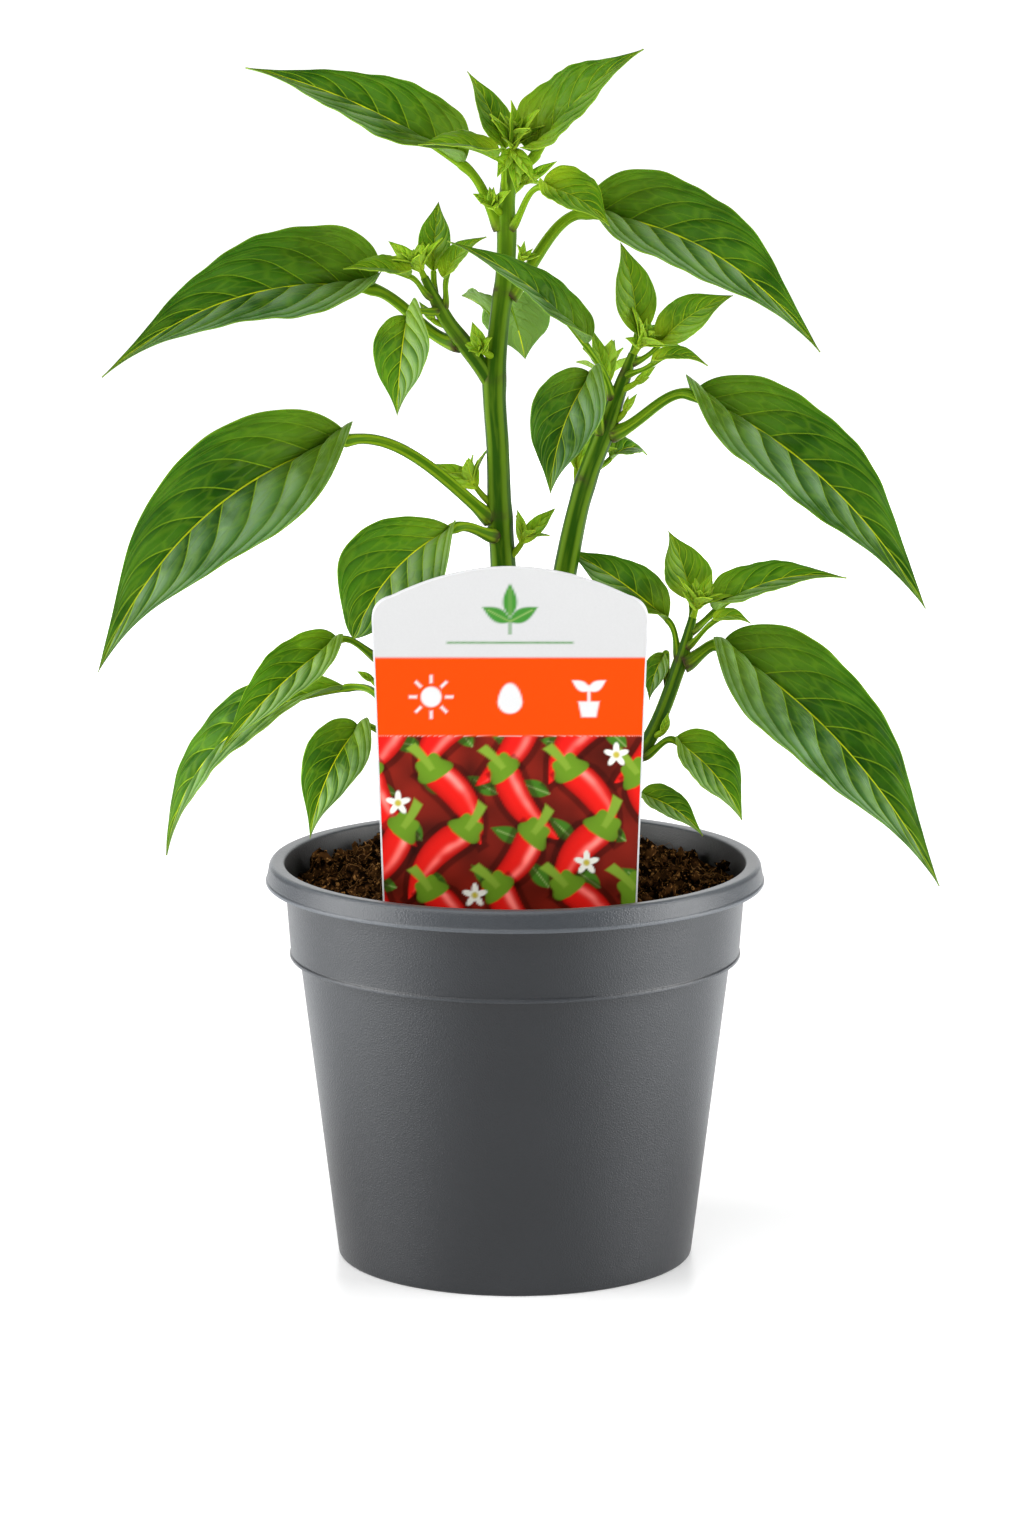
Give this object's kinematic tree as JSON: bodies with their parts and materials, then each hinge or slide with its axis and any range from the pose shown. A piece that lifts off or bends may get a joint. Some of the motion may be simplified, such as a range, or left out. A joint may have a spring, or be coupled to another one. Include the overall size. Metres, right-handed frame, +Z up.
{
  "type": "potted chilli pepper plant",
  "caption": "Young chilli pepper plant with branching green stems and pointed leaves, rooted in soil in a round plastic nursery pot with a picture label.",
  "frame": {"origin": "centre of the pot's underside, on the surface that it stands on", "axes": "+Z up along the pot's axis, +X to the right and -Y towards the side that the label faces"},
  "size_m": [0.2148, 0.13, 0.3166],
  "materials": {
    "pot_plastic": "satin dark blue-grey",
    "soil": "rough moist peat, dark brown",
    "label_card": "printed glossy plastic card: white, orange and a red picture area",
    "stem_green": "smooth ridged green stem",
    "leaf_green": "dark green leaf, soft sheen",
    "leaf_young": "yellow-green young leaf"
  },
  "bodies": {
    "root": {"fork_shoot": "leaf_young", "label": "label_card", "leaf_back_left": "leaf_green", "leaf_back_right": "leaf_green", "leaf_behind_label": "leaf_green", "leaf_centre_hanging": "leaf_green", "leaf_left_hanging": "leaf_green", "leaf_left_inner": "leaf_young", "leaf_left_sideways": "leaf_young", "leaf_left_upright": "leaf_young", "leaf_low_inner": "leaf_green", "leaf_low_inner_little": "leaf_green", "leaf_low_little": "leaf_young", "leaf_low_right_bottom": "leaf_green", "leaf_low_right_hanging": "leaf_green", "leaf_low_sideways": "leaf_green", "leaf_low_upright": "leaf_young", "leaf_lower_left_back": "leaf_green", "leaf_lower_left_front": "leaf_green", "leaf_lower_left_small": "leaf_green", "leaf_lower_right": "leaf_green", "leaf_middle_left": "leaf_green", "leaf_middle_right": "leaf_green", "leaf_over_stem": "leaf_green", "leaf_right_behind": "leaf_green", "leaf_right_little": "leaf_young", "leaf_right_sideways": "leaf_young", "leaf_right_upright": "leaf_young", "leaf_top_left": "leaf_green", "leaf_top_right": "leaf_young", "leaf_top_small_left": "leaf_young", "leaf_top_small_right": "leaf_young", "leaf_top_upright": "leaf_young", "leaf_upper_left": "leaf_green", "leaf_upper_right": "leaf_green", "left_petiole_bud": "leaf_young", "left_shoot": "leaf_young", "low_left_bud": "leaf_young", "low_left_shoot": "leaf_young", "low_right_bud": "leaf_young", "low_shoot": "leaf_young", "middle_left_shoot": "leaf_young", "middle_right_shoot": "leaf_young", "pot": "pot_plastic", "right_axil_shoot": "leaf_young", "right_node_bud": "leaf_young", "right_shoot": "leaf_young", "right_side_bud": "leaf_young", "right_twig": "leaf_young", "soil": "soil", "stems": "stem_green", "top_left_bud": "leaf_young", "top_right_bud": "leaf_young", "top_shoot": "leaf_young", "upper_right_bud": "leaf_young"}
  },
  "joints": []
}
